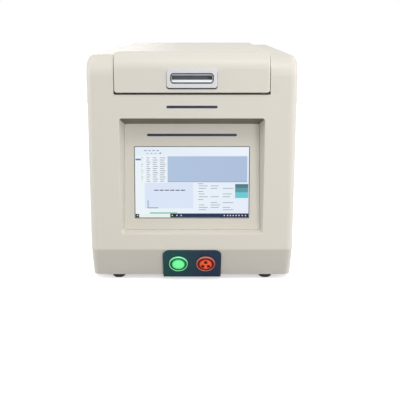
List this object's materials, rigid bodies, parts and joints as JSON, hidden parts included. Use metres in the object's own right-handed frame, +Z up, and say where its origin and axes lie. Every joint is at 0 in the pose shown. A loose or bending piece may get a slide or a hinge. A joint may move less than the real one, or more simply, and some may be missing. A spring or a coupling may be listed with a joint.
{
  "type": "x-ray fluorescence spectrometer",
  "caption": "Bench-top x-ray fluorescence analyser: rounded cream casing, hinged lid over a sample chamber, recessed touch display and lit push buttons.",
  "frame": {"origin": "on the table, under the middle of the casing", "axes": "+Z up, the display and handle face -Y, +X to the right seen from the front"},
  "size_m": [0.3994, 0.55, 0.45],
  "materials": {
    "moulding": "fine-textured paint on moulded foam, warm cream",
    "coated_sheet": "powder coated steel sheet",
    "screw_steel": "nickel plated steel",
    "rubber": "matte black rubber",
    "frame_sheet": "clear anodised aluminium",
    "stainless": "brushed stainless sheet",
    "film": "thin amber film",
    "handle_metal": "satin silver",
    "handle_grey": "grey moulding",
    "black_plastic": "black moulding",
    "hinge_steel": "brushed steel",
    "panel_plastic": "printed overlay, satin",
    "display_glass": "lit touch glass",
    "brass": "turned brass",
    "board": "green solder mask",
    "dark_plate": "dark blue-black gloss",
    "green_ring": "clear green ring",
    "green_lens": "lit green lens",
    "red_ring": "clear red ring",
    "red_lens": "lit orange-red lens",
    "foil": "rolled foil",
    "detector_steel": "finned housing",
    "cable_jacket": "dark red silicone jacket",
    "rocker_red": "red rocker"
  },
  "bodies": {
    "casing": {"front_shell": "moulding", "main_cover": "moulding", "rear_panel": "coated_sheet", "casing_screws": "screw_steel", "base_tray": "coated_sheet", "feet": "rubber", "side_frame_left": "frame_sheet", "side_frame_right": "frame_sheet", "front_brackets": "frame_sheet", "inner_screws": "screw_steel", "deck_plate": "frame_sheet", "chamber_tray": "stainless", "bay_cover": "stainless", "window_ring": "frame_sheet", "window_film": "film", "lid_stops": "rubber", "interlock_sensor": "black_plastic", "hinge_body_leaves": "hinge_steel", "hinge_pins": "hinge_steel", "display_panel": "panel_plastic", "display_glass": "display_glass", "display_module": "frame_sheet", "display_bracket": "frame_sheet", "board_standoffs": "brass", "computer_board": "board", "button_plate": "dark_plate", "power_bezel": "green_ring", "power_switch": "black_plastic", "xray_bezel": "red_ring", "xray_switch": "black_plastic", "optics_block": "frame_sheet", "filter_motor": "black_plastic", "xray_tube": "screw_steel", "tube_shield": "brass", "tube_cradle": "frame_sheet", "detector": "detector_steel", "hv_cable": "cable_jacket", "hv_supply": "coated_sheet", "power_supply": "frame_sheet", "processor_board": "board", "fan_frame": "black_plastic", "fan_guard": "screw_steel", "inlet_housing": "black_plastic", "inlet_pins": "brass", "port_block": "black_plastic", "earth_stud": "brass"},
    "lid": {"lid_shell": "moulding", "lid_liner": "stainless", "lid_seal": "rubber", "handle_plate": "handle_metal", "handle_cup": "handle_grey", "interlock_magnet": "screw_steel", "hinge_lid_leaves": "hinge_steel"},
    "power_button": {"power_cap": "green_lens"},
    "xray_button": {"xray_cap": "red_lens"},
    "rocker": {"mains_rocker": "rocker_red"},
    "fuse_holder": {"fuse_drawer": "black_plastic"},
    "fan": {"fan_rotor": "black_plastic"},
    "filter_changer": {"filter_wheel": "frame_sheet", "filter_foils": "foil"}
  },
  "joints": [
    {"name": "lid_hinge", "type": "hinge", "parent": "casing", "child": "lid", "pos_m": [0, 0.249, 0.44], "axis": [-1, 0, 0], "range_deg": [0, 75]},
    {"name": "power_press", "type": "slide", "parent": "casing", "child": "power_button", "axis": [0, 0.9062, 0.4229], "range_m": [0, 0.0025], "stiffness_N_per_m": 600, "springref_m": -0.001},
    {"name": "xray_press", "type": "slide", "parent": "casing", "child": "xray_button", "axis": [0, 0.9062, 0.4229], "range_m": [0, 0.0025], "stiffness_N_per_m": 600, "springref_m": -0.001},
    {"name": "mains_switch", "type": "hinge", "parent": "casing", "child": "rocker", "pos_m": [0.12, 0.268, 0.085], "axis": [1, 0, 0], "range_deg": [0, 16]},
    {"name": "fuse_pull", "type": "slide", "parent": "casing", "child": "fuse_holder", "axis": [0, 1, 0], "range_m": [0, 0.018]},
    {"name": "fan_spin", "type": "hinge", "parent": "casing", "child": "fan", "pos_m": [-0.08, 0.25, 0.23], "axis": [0, 1, 0], "continuous": true},
    {"name": "filter_turn", "type": "hinge", "parent": "casing", "child": "filter_changer", "pos_m": [-0.03, -0.06, 0.336], "axis": [0, 0, 1], "continuous": true}
  ]
}
